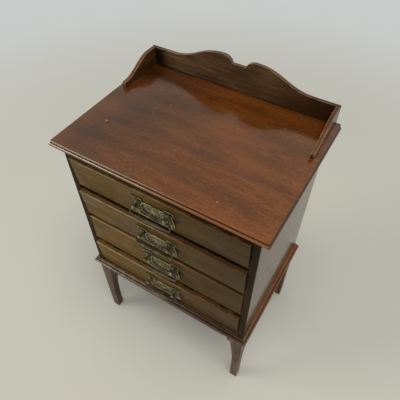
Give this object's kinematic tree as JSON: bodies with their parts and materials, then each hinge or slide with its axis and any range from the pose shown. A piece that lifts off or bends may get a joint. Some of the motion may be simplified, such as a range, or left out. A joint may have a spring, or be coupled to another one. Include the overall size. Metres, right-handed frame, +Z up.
{
  "type": "sheet music cabinet",
  "caption": "Free-standing sheet music cabinet with a moulded top, a shaped gallery, fall-front drawers with bail handles, and a stand of tapered legs.",
  "frame": {"origin": "on the floor under the middle of the whole cabinet's bounding box", "axes": "+Z up, the drawer fronts and handles face -Y, +X is to the right of someone who faces the fronts"},
  "size_m": [0.5434, 0.4036, 0.8769],
  "materials": {
    "top_wood": "dark red-brown polished hardwood, glossy, worn at the arrises",
    "case_wood": "brown stained hardwood, satin polish",
    "front_wood": "olive-brown stained hardwood, satin polish, worn orange at the edges",
    "inner_wood": "plain unpolished softwood",
    "aged_brass": "dulled olive brass, bright on the raised edges",
    "pin_brass": "plain brass strip"
  },
  "bodies": {
    "carcase": {"top_board": "top_wood", "gallery_back": "top_wood", "gallery_return_left": "top_wood", "gallery_return_right": "top_wood", "side_panel_left": "case_wood", "side_panel_right": "case_wood", "back_panel": "inner_wood", "top_rail": "case_wood", "base_board": "case_wood", "base_moulding_front": "case_wood", "base_moulding_left": "case_wood", "base_moulding_right": "case_wood", "leg_front_left": "case_wood", "leg_front_right": "case_wood", "leg_back_left": "case_wood", "leg_back_right": "case_wood", "apron_front": "case_wood", "apron_back": "case_wood", "apron_left": "case_wood", "apron_right": "case_wood"},
    "tray_4": {"drawer_4_bottom": "inner_wood", "drawer_4_back": "inner_wood", "drawer_4_side_left": "inner_wood", "drawer_4_side_right": "inner_wood", "drawer_4_pivot_left": "pin_brass", "drawer_4_pivot_right": "pin_brass"},
    "front_4": {"drawer_4_fall_front": "front_wood", "drawer_4_handle_plate": "aged_brass"},
    "bail_4": {"drawer_4_bail": "aged_brass"},
    "tray_3": {"drawer_3_bottom": "inner_wood", "drawer_3_back": "inner_wood", "drawer_3_side_left": "inner_wood", "drawer_3_side_right": "inner_wood", "drawer_3_pivot_left": "pin_brass", "drawer_3_pivot_right": "pin_brass"},
    "front_3": {"drawer_3_fall_front": "front_wood", "drawer_3_handle_plate": "aged_brass"},
    "bail_3": {"drawer_3_bail": "aged_brass"},
    "tray_2": {"drawer_2_bottom": "inner_wood", "drawer_2_back": "inner_wood", "drawer_2_side_left": "inner_wood", "drawer_2_side_right": "inner_wood", "drawer_2_pivot_left": "pin_brass", "drawer_2_pivot_right": "pin_brass"},
    "front_2": {"drawer_2_fall_front": "front_wood", "drawer_2_handle_plate": "aged_brass"},
    "bail_2": {"drawer_2_bail": "aged_brass"},
    "tray_1": {"drawer_1_bottom": "inner_wood", "drawer_1_back": "inner_wood", "drawer_1_side_left": "inner_wood", "drawer_1_side_right": "inner_wood", "drawer_1_pivot_left": "pin_brass", "drawer_1_pivot_right": "pin_brass"},
    "front_1": {"drawer_1_fall_front": "front_wood", "drawer_1_handle_plate": "aged_brass"},
    "bail_1": {"drawer_1_bail": "aged_brass"}
  },
  "joints": [
    {"name": "drawer_4_slide", "type": "slide", "parent": "carcase", "child": "tray_4", "axis": [0, -1, 0], "range_m": [0, 0.24]},
    {"name": "front_4_fall", "type": "hinge", "parent": "tray_4", "child": "front_4", "pos_m": [0, -0.17022, 0.324], "axis": [1, 0, 0], "range_deg": [-5, 85]},
    {"name": "bail_4_swing", "type": "hinge", "parent": "front_4", "child": "bail_4", "pos_m": [0, -0.1966, 0.37891], "axis": [-1, 0, 0], "range_deg": [-25, 90]},
    {"name": "drawer_3_slide", "type": "slide", "parent": "carcase", "child": "tray_3", "axis": [0, -1, 0], "range_m": [0, 0.24]},
    {"name": "front_3_fall", "type": "hinge", "parent": "tray_3", "child": "front_3", "pos_m": [0, -0.17022, 0.434], "axis": [1, 0, 0], "range_deg": [0, 90]},
    {"name": "bail_3_swing", "type": "hinge", "parent": "front_3", "child": "bail_3", "pos_m": [0, -0.19172, 0.491], "axis": [-1, 0, 0], "range_deg": [-20, 95]},
    {"name": "drawer_2_slide", "type": "slide", "parent": "carcase", "child": "tray_2", "axis": [0, -1, 0], "range_m": [0, 0.24]},
    {"name": "front_2_fall", "type": "hinge", "parent": "tray_2", "child": "front_2", "pos_m": [0, -0.17022, 0.544], "axis": [1, 0, 0], "range_deg": [-5, 85]},
    {"name": "bail_2_swing", "type": "hinge", "parent": "front_2", "child": "bail_2", "pos_m": [0, -0.1966, 0.59891], "axis": [-1, 0, 0], "range_deg": [-25, 90]},
    {"name": "drawer_1_slide", "type": "slide", "parent": "carcase", "child": "tray_1", "axis": [0, -1, 0], "range_m": [0, 0.24]},
    {"name": "front_1_fall", "type": "hinge", "parent": "tray_1", "child": "front_1", "pos_m": [0, -0.17022, 0.654], "axis": [1, 0, 0], "range_deg": [-5, 85]},
    {"name": "bail_1_swing", "type": "hinge", "parent": "front_1", "child": "bail_1", "pos_m": [0, -0.1966, 0.70891], "axis": [-1, 0, 0], "range_deg": [-25, 90]}
  ]
}
